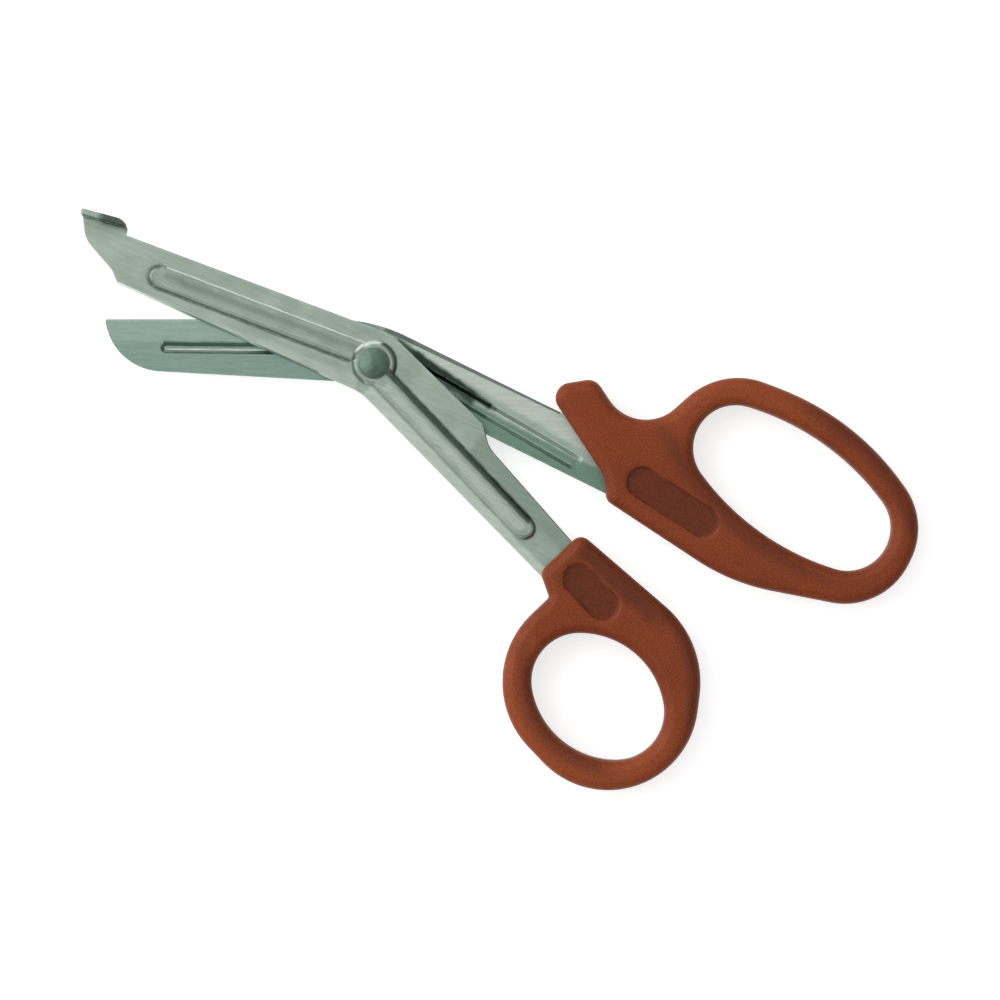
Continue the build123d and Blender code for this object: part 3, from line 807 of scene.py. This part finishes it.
@dataclass
class FrontMember:
    """Upper blade with the safety foot, and its thumb handle."""

    pivot: Point
    edge_angle: float = -24.1
    edge_offset: float = -6.75 * MM
    edge_length: float = 46.5 * MM
    edge_reach: float = 56.24 * MM
    land_width: float = 0.45 * MM
    blade_rib_angle: float = -20.8
    blade_rib_left: float = 1.0 * MM
    blade_rib_reach: float = 49.0 * MM
    shank_angle: float = -46.45
    shank_rib_left: float = -1.0 * MM
    shank_rib_reach: float = 47.0 * MM
    rib_foot: float = 2.5 * MM
    rib_floor: float = 1.3 * MM
    foot_angle: float = -14.9
    foot_root: Point = (-61.3 * MM, 30.9 * MM, 0.0)
    foot_length: float = 9.4 * MM
    heel_edge_start: Point = (26.3 * MM, -18.9 * MM, 0.0)
    heel_edge_angle: float = -50.6
    tone: Colour = (0.415, 0.485, 0.42)
    deep_tone: Colour = (0.28, 0.352, 0.295)
    light_tone: Colour = (0.615, 0.68, 0.60)
    worn_tone: Colour = (0.62, 0.69, 0.63)
    glint_tone: Colour = (0.93, 0.96, 0.93)
    # Painted shade for the walls, ends and edges that face away from the light.
    painted_shade_tone: Colour = (0.05, 0.08, 0.06)
    roughness: float = 0.42

    def blade_rib(self) -> Axis:
        """The middle line of the blade's rib."""
        return Axis(self.pivot, self.blade_rib_angle, self.blade_rib_left)

    def shank_rib(self) -> Axis:
        """The middle line of the shank's rib."""
        return Axis(self.pivot, self.shank_angle, self.shank_rib_left)

    def zones(self) -> tuple[Patch, ...]:
        """The darker and lighter strips, with painted light beside the shank's rib and painted
        shade on the rib walls that face away from the light.

        Returns:
            The patches, from the lowest up.
        """
        heel_strip = Axis(self.pivot, self.shank_angle).strip(
            left=1.4 * MM, distance=27 * MM, length=40 * MM, width=8 * MM, side=Side.LEFT,
            softness=1.6 * MM, tone=self.deep_tone, strength=0.95)
        edge_strip = self.blade_rib().strip(
            left=-self.rib_foot - 2.3 * MM, distance=-self.blade_rib_reach - 2 * MM,
            length=self.blade_rib_reach, width=6 * MM, side=Side.RIGHT,
            softness=1.0 * MM, tone=self.light_tone, strength=0.35)
        # Painted light on the shank beside its rib, on the side towards the light.
        shank_strip = self.shank_rib().strip(
            left=-self.rib_foot - 0.2 * MM, distance=3 * MM,
            length=self.shank_rib_reach + 12 * MM, width=9 * MM, side=Side.RIGHT,
            softness=0.9 * MM, tone=self.light_tone, strength=0.68)
        # Painted shade on the lower wall of the blade's rib and the upper-right wall of the shank's
        # rib.
        blade_wall = self.blade_rib().strip(
            left=-self.rib_foot - 0.35 * MM, distance=-self.blade_rib_reach,
            length=self.blade_rib_reach - 5 * MM, width=0.8 * MM, side=Side.LEFT,
            softness=0.4 * MM, tone=self.painted_shade_tone, strength=0.62)
        shank_wall = self.shank_rib().strip(
            left=self.rib_foot + 0.25 * MM, distance=3 * MM,
            length=self.shank_rib_reach - 3 * MM, width=1.65 * MM, side=Side.RIGHT,
            softness=0.5 * MM, tone=self.painted_shade_tone, strength=0.85)
        return heel_strip, edge_strip, shank_strip, blade_wall, shank_wall

    def ribs(self) -> tuple[Rib, ...]:
        """The ribs of the blade and of the shank.

        Returns:
            The two ribs.
        """
        ends = ((self.blade_rib(), -self.blade_rib_reach), (self.shank_rib(), self.shank_rib_reach))
        return tuple(Rib(axis.at(0, 0), axis.at(0, reach), self.rib_floor, self.rib_foot)
                     for axis, reach in ends)

    def rib_marks(self) -> tuple[Mark, ...]:
        """The light and the shade on the crowns and at the ends of the ribs.

        Returns:
            The marks, from the lowest up.
        """
        # Painted highlight along the upper wall of the blade's rib.
        crest_line = self.blade_rib().strip(
            left=self.rib_foot - 0.3 * MM, distance=-self.blade_rib_reach + 1 * MM,
            length=self.blade_rib_reach - 4.4 * MM, width=0.36 * MM, side=Side.LEFT,
            softness=0.2 * MM, tone=self.glint_tone, strength=0.95)
        # Painted shade across the crown of the blade's rib.
        crown_shade = self.blade_rib().strip(
            left=-0.1 * MM, distance=-self.blade_rib_reach + 1 * MM,
            length=self.blade_rib_reach - 4 * MM, width=1.6 * MM, side=Side.LEFT,
            softness=1.4 * MM, tone=self.painted_shade_tone, strength=0.3)
        # Painted light on the lower-left half of the shank's rib.
        crown_light = self.shank_rib().strip(
            left=0.4 * MM, distance=5 * MM,
            length=self.shank_rib_reach - 5 * MM, width=1.7 * MM, side=Side.RIGHT,
            softness=0.9 * MM, tone=self.light_tone, strength=0.5)
        # Painted shade over the end walls of both ribs.
        rib_nose = part_ring(
            self.blade_rib().at(0, -self.blade_rib_reach), radius=1.95 * MM, width=1.0 * MM,
            angle=self.blade_rib_angle, reach=(-4.0 * MM, -0.3 * MM),
            tone=self.painted_shade_tone, strength=0.75)
        shank_nose = part_ring(
            self.shank_rib().at(0, self.shank_rib_reach), radius=2.1 * MM, width=1.2 * MM,
            angle=self.shank_angle, reach=(-0.5 * MM, 4.0 * MM), tone=self.deep_tone, strength=0.7)
        return crest_line, crown_shade, crown_light, rib_nose, shank_nose

    def boss_marks(self) -> tuple[Mark, ...]:
        """The shade and the light on the wall of the boss round the pivot.

        Returns:
            The marks, from the lowest up.
        """
        middle = Vector(self.pivot)
        # Painted shade on the right and lower-left of the boss wall, and a painted highlight on its
        # top.
        shade = part_ring(middle, radius=4.5 * MM, width=0.8 * MM, angle=22.0,
                          reach=(2.9 * MM, 9.0 * MM), tone=self.painted_shade_tone, strength=0.95)
        heel = part_ring(middle, radius=4.4 * MM, width=0.8 * MM, angle=196.0,
                         reach=(3.2 * MM, 9.0 * MM), tone=self.painted_shade_tone, strength=0.75)
        light = part_ring(middle, radius=4.5 * MM, width=0.55 * MM, angle=108.0,
                          reach=(3.6 * MM, 9.0 * MM), tone=self.glint_tone, strength=0.9)
        return shade, heel, light

    def end_marks(self) -> tuple[Mark, ...]:
        """Painted shade along the upper edge of the heel, at the bend of the safety foot and on the
        foot.

        Returns:
            The marks, from the lowest up.
        """
        # Painted shade: dark lines along the heel's upper edge and the foot's bend, and shade on
        # the foot.
        upper_edge = Axis(self.pivot, self.heel_edge_angle, start=self.heel_edge_start).strip(
            length=26 * MM, width=1.5 * MM, side=Side.LEFT,
            softness=0.15 * MM, tone=self.painted_shade_tone, strength=0.7)
        foot = Axis(self.pivot, self.foot_angle, start=self.foot_root)
        foot_line = foot.strip(
            length=self.foot_length, width=0.55 * MM, side=Side.LEFT,
            softness=0.5 * MM, tone=self.painted_shade_tone, strength=0.8)
        foot_shade = foot.strip(
            left=-0.3 * MM, distance=3.6 * MM, length=8 * MM, width=3.5 * MM, side=Side.LEFT,
            softness=1.4 * MM, tone=self.painted_shade_tone, strength=0.7)
        return upper_edge, foot_line, foot_shade

    def steel(self) -> PressedSteel:
        """The finish of the blade.

        Returns:
            The finish.
        """
        land = Axis(self.pivot, self.edge_angle, self.edge_offset).strip(
            distance=-self.edge_reach, length=self.edge_length, width=self.land_width,
            side=Side.LEFT, softness=0.08 * MM, tone=self.tone, strength=0.7)
        return PressedSteel(
            name="blade_steel_front",
            pivot=self.pivot,
            tone=self.tone,
            deep_tone=self.deep_tone,
            bright_tone=self.worn_tone,
            roughness=self.roughness,
            streak_angle=self.edge_angle,
            land=land,
            zones=self.zones(),
            ribs=self.ribs(),
            lines=(*self.rib_marks(), *self.boss_marks(), *self.end_marks()),
        )

    def dress(self, effects: Effects, plastic: bpy.types.Material) -> None:
        """Puts the finishes on the blade and the handle."""
        dress("front_blade", self.steel().material(effects))
        dress("thumb_handle", plastic)


@dataclass
class RearMember:
    """Lower blade with the round nose, and its finger handle."""

    pivot: Point
    edge_angle: float = 0.0
    edge_offset: float = 9.37 * MM
    edge_reach: float = 56.85 * MM
    land_width: float = 0.45 * MM
    groove_angle: float = -0.6
    groove_left: float = 2.9 * MM
    groove_reach: float = 44.0 * MM
    groove_shift: float = -0.6 * MM
    hollow_angle: float = -30.3
    hollow_left: float = 3.3 * MM
    hollow_reach: float = 46.5 * MM
    strip_length: float = 60.0 * MM
    wedge_start: Point = (5.0 * MM, 5.4 * MM, 0.0)
    wedge_angle: float = -34.9
    edge_line_start: Point = (2.12 * MM, 6.88 * MM, 0.0)
    edge_line_angle: float = -25.4
    tone: Colour = (0.40, 0.47, 0.41)
    deep_tone: Colour = (0.295, 0.413, 0.345)
    under_tone: Colour = (0.165, 0.27, 0.21)
    back_tone: Colour = (0.565, 0.62, 0.56)
    blade_tone: Colour = (0.245, 0.352, 0.303)
    light_tone: Colour = (0.335, 0.44, 0.385)
    shade_tone: Colour = (0.12, 0.17, 0.145)
    worn_tone: Colour = (0.50, 0.58, 0.52)
    glint_tone: Colour = (0.85, 0.92, 0.87)
    # Painted shade, and the painted shadow of the front member on the shank.
    painted_shade_tone: Colour = (0.03, 0.05, 0.04)
    roughness: float = 0.44

    def groove(self) -> Axis:
        """The middle line of the blade's groove."""
        return Axis(self.pivot, self.groove_angle, self.groove_left)

    def hollow(self) -> Axis:
        """The middle line of the shank's hollow."""
        return Axis(self.pivot, self.hollow_angle, self.hollow_left)

    def zones(self) -> tuple[Patch, ...]:
        """The tone of the blade and the strips beside the groove and the hollow.

        Returns:
            The patches, from the lowest up.
        """
        blade = Axis(self.pivot, self.edge_angle).strip(
            left=-20 * MM, distance=-70 * MM, length=72 * MM, width=40 * MM, side=Side.LEFT,
            softness=8 * MM, tone=self.blade_tone, strength=0.95)
        upper_strip = self.groove().strip(
            left=1.2 * MM, distance=-70 * MM, length=66 * MM, width=10 * MM, side=Side.LEFT,
            softness=2.0 * MM, tone=self.light_tone, strength=0.8)
        lower_strip = self.hollow().strip(
            left=-0.95 * MM, distance=5 * MM, turn=2.7, length=self.strip_length, width=14 * MM,
            side=Side.RIGHT, softness=0.9 * MM, tone=self.under_tone, strength=0.92)
        back_strip = self.hollow().strip(
            left=3.1 * MM, distance=5 * MM, length=self.strip_length, width=14 * MM,
            side=Side.LEFT, softness=1.4 * MM, tone=self.back_tone, strength=0.9)
        return blade, upper_strip, lower_strip, back_strip

    def wedge_marks(self) -> tuple[Mark, ...]:
        """The painted shadow of the front member on the shank beside it, and painted shade along
        the shank's upper edge.

        Returns:
            The marks, from the lowest up.
        """
        wedge = Axis(self.pivot, self.wedge_angle, start=self.wedge_start)
        # Painted shadow that the front member casts on the rear shank.
        wedge_line = wedge.strip(
            length=24.5 * MM, width=1.5 * MM, side=Side.RIGHT,
            softness=0.8 * MM, tone=self.painted_shade_tone, strength=0.95)
        wedge_heart = wedge.strip(
            distance=5 * MM, length=16 * MM, width=2.8 * MM, side=Side.RIGHT,
            softness=1.6 * MM, tone=self.painted_shade_tone, strength=0.92)
        edge_line = Axis(self.pivot, self.edge_line_angle, start=self.edge_line_start).strip(
            length=41 * MM, width=1.5 * MM, side=Side.LEFT,
            softness=0.15 * MM, tone=self.painted_shade_tone, strength=0.7)
        return wedge_line, wedge_heart, edge_line

    def hollow_marks(self) -> tuple[Mark, ...]:
        """Painted shade at the end of the shank's hollow, a painted highlight on its wall and
        painted light at its foot.

        Returns:
            The marks, from the lowest up.
        """
        # Painted shade at the end, a painted highlight on the wall and painted light over the shade
        # at the foot.
        hollow_end = self.hollow().strip(
            left=1.5 * MM, distance=self.hollow_reach, length=1.7 * MM, width=3.0 * MM,
            side=Side.RIGHT, softness=0.6 * MM, tone=self.shade_tone, strength=0.3)
        hollow_light = self.hollow().strip(
            left=1.75 * MM, distance=27.2 * MM, length=21 * MM, width=1.0 * MM,
            side=Side.RIGHT, softness=0.4 * MM, tone=self.glint_tone, strength=0.55)
        hollow_foot = self.hollow().strip(
            left=-0.6 * MM, distance=26 * MM, length=21.5 * MM, width=0.8 * MM,
            side=Side.RIGHT, softness=0.5 * MM, tone=self.tone, strength=0.5)
        return hollow_end, hollow_light, hollow_foot

    def groove_marks(self) -> tuple[Mark, ...]:
        """The shaded and the lit wall of the blade's groove.

        Returns:
            The marks, from the lowest up.
        """
        start = self.groove_shift - self.groove_reach
        # Painted shade on the upper wall and a painted highlight on the lower wall of the groove.
        groove_shade = self.groove().strip(
            left=0.35 * MM, distance=start, length=self.groove_reach, width=1.05 * MM,
            side=Side.LEFT, softness=0.5 * MM, tone=self.painted_shade_tone, strength=0.62)
        groove_light = self.groove().strip(
            left=-0.2 * MM, distance=start, length=self.groove_reach, width=0.65 * MM,
            side=Side.RIGHT, softness=0.35 * MM, tone=self.glint_tone, strength=0.8)
        return groove_shade, groove_light

    def steel(self) -> PressedSteel:
        """The finish of the blade.

        Returns:
            The finish.
        """
        land = Axis(self.pivot, self.edge_angle, self.edge_offset).strip(
            distance=-self.edge_reach, length=self.edge_reach, width=self.land_width,
            side=Side.RIGHT, softness=0.08 * MM, tone=self.tone, strength=0.35)
        return PressedSteel(
            name="blade_steel_rear",
            pivot=self.pivot,
            tone=self.tone,
            deep_tone=self.deep_tone,
            bright_tone=self.worn_tone,
            roughness=self.roughness,
            streak_angle=self.edge_angle,
            land=land,
            zones=self.zones(),
            ribs=(),
            lines=(*self.wedge_marks(), *self.hollow_marks(), *self.groove_marks()),
        )

    def dress(self, effects: Effects, plastic: bpy.types.Material) -> None:
        """Puts the finishes on the blade and the handle."""
        dress("rear_blade", self.steel().material(effects))
        dress("finger_handle", plastic)


@dataclass
class Grip:
    """The plastic of both handles, with painted light on the thumb ring, a paler patch on the
    finger handle and painted shade along the rims and the thumb's shoulder.
    """

    pivot: Point
    height: tuple[float, float]
    thumb_ring: Point = (47.6 * MM, -70.4 * MM, 0.0)
    thumb_lit_side_angle: float = 232.0
    finger_pale_patch_start: Point = (60.0 * MM, -13.5 * MM, 0.0)
    shoulder_start: Point = (45.1 * MM, -37.7 * MM, 0.0)
    shoulder_angle: float = -43.2
    shoulder_lengths: tuple[float, ...] = (17 * MM, 20.5 * MM, 24 * MM)
    thumb_side: Point = (42.3 * MM, -68.2 * MM, 0.0)
    thumb_hole: Point = (50.5 * MM, -66.4 * MM, 0.0)
    finger_side: Point = (77.2 * MM, -44.7 * MM, 0.0)
    finger_hole: Point = (110.2 * MM, 5.5 * MM, 0.0)
    pocket_depth: float = 0.6 * MM
    tone: Colour = (0.25, 0.044, 0.0085)
    deep_tone: Colour = (0.112, 0.019, 0.004)
    worn_tone: Colour = (0.37, 0.080, 0.020)
    # Painted shade for the rims and the shoulder that face away from the light.
    painted_rim_shade_tone: Colour = (0.10, 0.020, 0.006)
    roughness: float = 0.5

    def tone_patches(self) -> tuple[Patch, ...]:
        """Painted light on the thumb ring, a paler patch on the finger handle and painted shade
        along the thumb's shoulder.

        Returns:
            The patches, from the lowest up.
        """
        # Painted light in the worn tone on the lower-left side of the thumb ring, and a paler patch
        # on the finger handle.
        thumb_lit_side = Axis(self.pivot, self.thumb_lit_side_angle, start=self.thumb_ring).strip(
            left=-30 * MM, length=40 * MM, width=60 * MM, side=Side.LEFT,
            softness=16 * MM, tone=self.worn_tone, strength=0.5)
        finger_pale_patch = Axis(self.pivot, 0.0, start=self.finger_pale_patch_start).strip(
            length=36 * MM, width=20 * MM, side=Side.LEFT,
            softness=9 * MM, tone=self.worn_tone, strength=0.4)
        # Painted shade along the thumb handle's right shoulder.
        line = Axis(self.pivot, self.shoulder_angle, start=self.shoulder_start)
        shoulder = [
            line.strip(length=length, width=3.4 * MM, side=Side.RIGHT,
                       softness=2.4 * MM, tone=self.painted_rim_shade_tone, strength=0.38)
            for length in self.shoulder_lengths
        ]
        return thumb_lit_side, finger_pale_patch, *shoulder

    def rims(self) -> tuple[Arc, ...]:
        """Painted shade along the rims of both rings, on the slopes that face away from the light.

        Returns:
            The arcs: the outer and inner rim of the thumb ring, then of the finger ring.
        """
        sizes = (
            (self.thumb_side, 24.8 * MM, 2.3 * MM, 15.0, (20.4 * MM, 34.0 * MM)),
            (self.thumb_hole, 18.7 * MM, 3.3 * MM, 215.0, (12.0 * MM, 28.0 * MM)),
            (self.finger_side, 37.3 * MM, 3.0 * MM, 40.0, (32.5 * MM, 50.0 * MM)),
            (self.finger_hole, 52.2 * MM, 3.2 * MM, 227.0, (48.0 * MM, 62.0 * MM)),
        )
        return tuple(
            part_ring(Vector(self.pivot) + Vector(middle), radius, width, angle, reach,
                      tone=self.painted_rim_shade_tone, strength=0.6, softness=5 * MM)
            for middle, radius, width, angle, reach in sizes
        )

    def plastic(self) -> MouldedPlastic:
        """The finish of the handles.

        Returns:
            The finish.
        """
        return MouldedPlastic(
            name="handle_plastic",
            tone=self.tone,
            deep_tone=self.deep_tone,
            worn_tone=self.worn_tone,
            roughness=self.roughness,
            parting_height=(self.height[0] + self.height[1]) / 2,
            pocket_height=self.height[1] - self.pocket_depth,
            tone_patches=(*self.tone_patches(), *self.rims()),
        )


@dataclass
class Pivot:
    """The rivet and the washer under its peened tail."""

    pivot: Point
    head_radius: float = 3.3 * MM
    washer_radius: float = 3.7 * MM
    rivet_tone: Colour = (0.165, 0.235, 0.188)
    rivet_deep_tone: Colour = (0.113, 0.176, 0.135)
    washer_tone: Colour = (0.5, 0.56, 0.5)
    washer_deep_tone: Colour = (0.25, 0.3, 0.26)

    def dress(self, effects: Effects) -> None:
        """Puts the finishes on the rivet and the washer.

        Args:
            effects: the shared effects.
        """
        rivet = PeenedSteel(
            name="rivet_steel",
            pivot=self.pivot,
            tone=self.rivet_tone,
            deep_tone=self.rivet_deep_tone,
            roughness=0.5,
            rim_radius=self.head_radius,
            mark_depth=0.12 * MM,
        )
        washer = PeenedSteel(
            name="washer_steel",
            pivot=self.pivot,
            tone=self.washer_tone,
            deep_tone=self.washer_deep_tone,
            roughness=0.34,
            rim_radius=self.washer_radius,
            mark_depth=0.02 * MM,
        )
        dress("pivot_rivet", rivet.material(effects))
        dress("pivot_washer", washer.material(effects))


@dataclass
class Studio:
    """Pale paper sweep, soft lamps and the camera straight above."""

    pivot: Point
    look_from_pivot: Point = (26.54 * MM, -28.80 * MM, 0.0)
    camera_height: float = 1.2
    view_width: float = 0.2111
    sensor: float = 36.0
    far_limit: float = 60.0
    sweep: tuple[tuple[float, float], ...] = (
        (0.5, 0.0), (1.5, 0.0), (4.0, 0.0), (8.0, 0.0),
        (8.5, 0.13), (8.86, 0.5), (9.0, 1.0), (9.0, 1.6),
    )
    sweep_sides: int = 64
    floor_tone: Colour = (0.70, 0.70, 0.70)
    floor_glow: float = 0.62
    full_glow_height: float = 0.5
    floor_roughness: float = 0.9
    fibre_scale: float = 140.0
    fibre_shade: float = 0.985
    lamp_size: float = 1.1
    lamp_distance: float = 1.1
    key_heading: float = 158.0
    key_rise: float = 34.0
    key_power: float = 7.0
    fill_heading: float = 105.0
    fill_rise: float = 46.0
    fill_power: float = 1.5
    sky_high: Colour = (0.78, 0.78, 0.78)
    sky_low: Colour = (0.06, 0.06, 0.065)
    sky_towards_key: tuple[float, float] = (-0.25, 0.2)
    sky_above: tuple[float, float] = (0.4, 0.8)
    lamps: list[bpy.types.Object] = field(default_factory=list)

    def build(self) -> None:
        """Makes the floor, the world, the lamps and the camera."""
        self.lay_floor()
        self.light_world()
        self.hang_lamp("key_lamp", self.key_heading, self.key_rise, self.key_power)
        self.hang_lamp("fill_lamp", self.fill_heading, self.fill_rise, self.fill_power)
        self.set_camera()
        log.info("studio stands with %d lamps", len(self.lamps))

    def floor_mesh(self) -> bpy.types.Mesh:
        """Shapes a round floor that curves up far away.

        Returns:
            The mesh.
        """
        mesh = bpy.data.meshes.new("floor")
        form = bmesh.new()
        middle = form.verts.new(NOWHERE)
        inner = None
        for radius, height in self.sweep:
            rise = Vector(UPWARD) * height
            angles = (360.0 * side / self.sweep_sides for side in range(self.sweep_sides))
            outer = [form.verts.new(heading(angle) * radius + rise) for angle in angles]
            for side in range(self.sweep_sides):
                corners = [outer[side - 1], outer[side]]
                corners += [middle] if inner is None else [inner[side], inner[side - 1]]
                form.faces.new(corners).smooth = True
            inner = outer
        form.normal_update()
        form.to_mesh(mesh)
        form.free()
        return mesh

    def floor_paper(self) -> bpy.types.Material:
        """Makes the pale paper, which shows as white and keeps the shadow.

        Returns:
            The new material.
        """
        material, wiring, shader = start_material("floor_paper")
        place = wiring.object_place()
        shade = tuple(self.fibre_shade * part for part in self.floor_tone)
        fibres = wiring.noise(place, self.fibre_scale, 4.0)
        wiring.feed(wiring.blend(fibres, shade, self.floor_tone), shader.inputs["Base Color"])
        shader.inputs["Roughness"].default_value = self.floor_roughness
        risen = wiring.ramp(wiring.upward_part(place), 0.0, self.full_glow_height)
        glow = wiring.maths("ADD", self.floor_glow, wiring.times(risen, 1.0 - self.floor_glow))
        rays = wiring.add("ShaderNodeLightPath").outputs
        seen = wiring.maths("MAXIMUM", rays["Is Camera Ray"], rays["Is Glossy Ray"])
        seen = wiring.maths("MAXIMUM", seen, rays["Is Transmission Ray"])
        wiring.feed(opaque(WHITE), shader.inputs["Emission Color"])
        wiring.feed(wiring.times(seen, glow), shader.inputs["Emission Strength"])
        return material

    def lay_floor(self) -> None:
        """Lays the paper floor under the object."""
        mesh = self.floor_mesh()
        floor = bpy.data.objects.new("floor", mesh)
        bpy.context.scene.collection.objects.link(floor)
        mesh.materials.append(self.floor_paper())

    def light_world(self) -> None:
        """Fills the world with soft grey light, brighter above and towards the key lamp."""
        world = bpy.data.worlds.new("studio_air")
        bpy.context.scene.world = world
        world.use_nodes = True
        world.node_tree.nodes.clear()
        wiring = Wiring(world.node_tree)
        way = wiring.add("ShaderNodeTexCoord").outputs["Generated"]
        towards_key = wiring.vector_maths("DOT_PRODUCT", way, heading(self.key_heading))
        height = wiring.vector_maths("DOT_PRODUCT", way, UPWARD)
        share = wiring.maths("MAXIMUM", wiring.ramp(towards_key, *self.sky_towards_key),
                             wiring.ramp(height, *self.sky_above))
        shine = wiring.add("ShaderNodeBackground")
        wiring.feed(wiring.blend(share, self.sky_low, self.sky_high), shine.inputs[0])
        output = wiring.add("ShaderNodeOutputWorld")
        wiring.feed(shine.outputs[0], output.inputs[0])

    def hang_lamp(self, name: str, way: float, rise: float, power: float) -> None:
        """Hangs a soft square lamp that points at the object.

        Args:
            name: the lamp's name.
            way: its direction from the object in the plan.
            rise: its height above the floor as an angle.
            power: its power in watts.
        """
        light = bpy.data.lights.new(name, "AREA")
        light.energy = power
        light.size = self.lamp_size
        lamp = bpy.data.objects.new(name, light)
        bpy.context.scene.collection.objects.link(lamp)
        level = math.cos(math.radians(rise)) * self.lamp_distance
        height = math.sin(math.radians(rise)) * self.lamp_distance
        place = heading(way) * level + Vector((0.0, 0.0, height))
        lamp.location = place
        lamp.rotation_euler = (-place).to_track_quat("-Z", "Y").to_euler()
        self.lamps.append(lamp)

    def set_camera(self) -> None:
        """Sets the camera straight above, with the photograph's framing."""
        data = bpy.data.cameras.new("camera")
        camera = bpy.data.objects.new("camera", data)
        bpy.context.scene.collection.objects.link(camera)
        camera.location = Vector(self.pivot) + Vector(self.look_from_pivot)
        camera.location.z = self.camera_height
        camera.rotation_euler = (0.0, 0.0, 0.0)
        distance = self.camera_height - self.pivot[2]
        data.sensor_width = self.sensor
        data.lens = self.sensor * distance / self.view_width
        data.clip_end = self.far_limit
        bpy.context.scene.camera = camera


def main() -> None:
    """Dresses the scissors and sets up the studio."""
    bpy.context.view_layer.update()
    bpy.context.scene.view_settings.view_transform = "Standard"
    pivot = tuple(frame["joints"][0]["pos_m"])
    low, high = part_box("thumb_handle")
    effects = Effects()
    plastic = Grip(pivot, (low[2], high[2])).plastic().material(effects)
    FrontMember(pivot).dress(effects, plastic)
    RearMember(pivot).dress(effects, plastic)
    Pivot(pivot).dress(effects)
    Studio(pivot).build()


if __name__ == "__main__":
    main()
